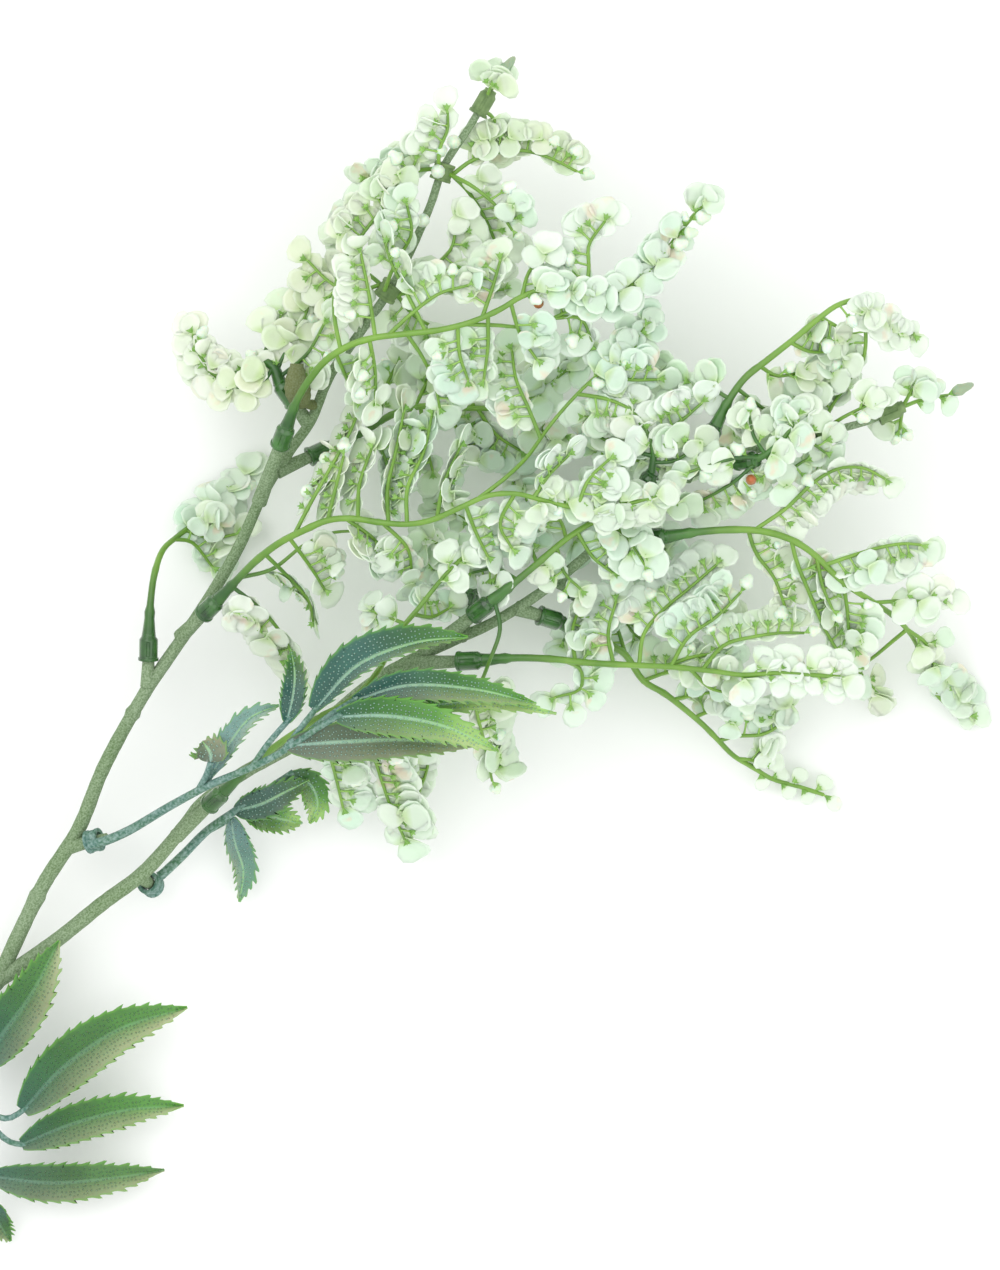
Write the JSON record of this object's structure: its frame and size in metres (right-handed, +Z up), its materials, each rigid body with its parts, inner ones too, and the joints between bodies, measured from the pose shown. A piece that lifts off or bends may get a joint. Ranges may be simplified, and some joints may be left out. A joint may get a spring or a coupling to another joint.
{
  "type": "artificial caspia stem",
  "caption": "Cut artificial caspia branch lying on its side: a forked wired stem with plug-on sprays of small pale round petals and toothed leaf sprigs.",
  "frame": {"origin": "on the table, under the middle of the box round the whole branch", "axes": "the bare lower stem lies along -X and the flowers point to +X; +Z is up from the table that the branch lies on"},
  "size_m": [0.5586, 0.226, 0.0638],
  "materials": {
    "stem": "flocked olive grey-green plastic over wire, rough and speckled",
    "twig": "soft moulded green plastic, a low gloss",
    "blossom": "thin milky petals tinted mint, their rims lighter",
    "leaf": "blue-green to yellow-green blades with raised pale dots"
  },
  "bodies": {
    "root": {"wired_stem": "stem", "spray_outer_left": "blossom", "spray_far_left": "blossom", "spray_front": "blossom", "spray_crown": "blossom", "spray_back_left": "blossom", "spray_low_front": "blossom", "spray_mid_right": "blossom", "spray_right": "blossom", "spray_drooping": "blossom", "spray_far_right": "blossom", "spray_upper_right": "blossom", "spray_centre": "blossom", "spray_inner_right": "blossom", "spray_under_left": "blossom", "spray_under_right": "blossom", "whorl_left_middle": "twig", "whorl_left_top": "twig", "whorl_right": "twig", "tip_left": "twig", "tip_right": "twig", "leaf_sprig_left": "leaf", "leaf_sprig_right": "leaf", "leaf_sprig_low": "leaf"}
  },
  "joints": []
}
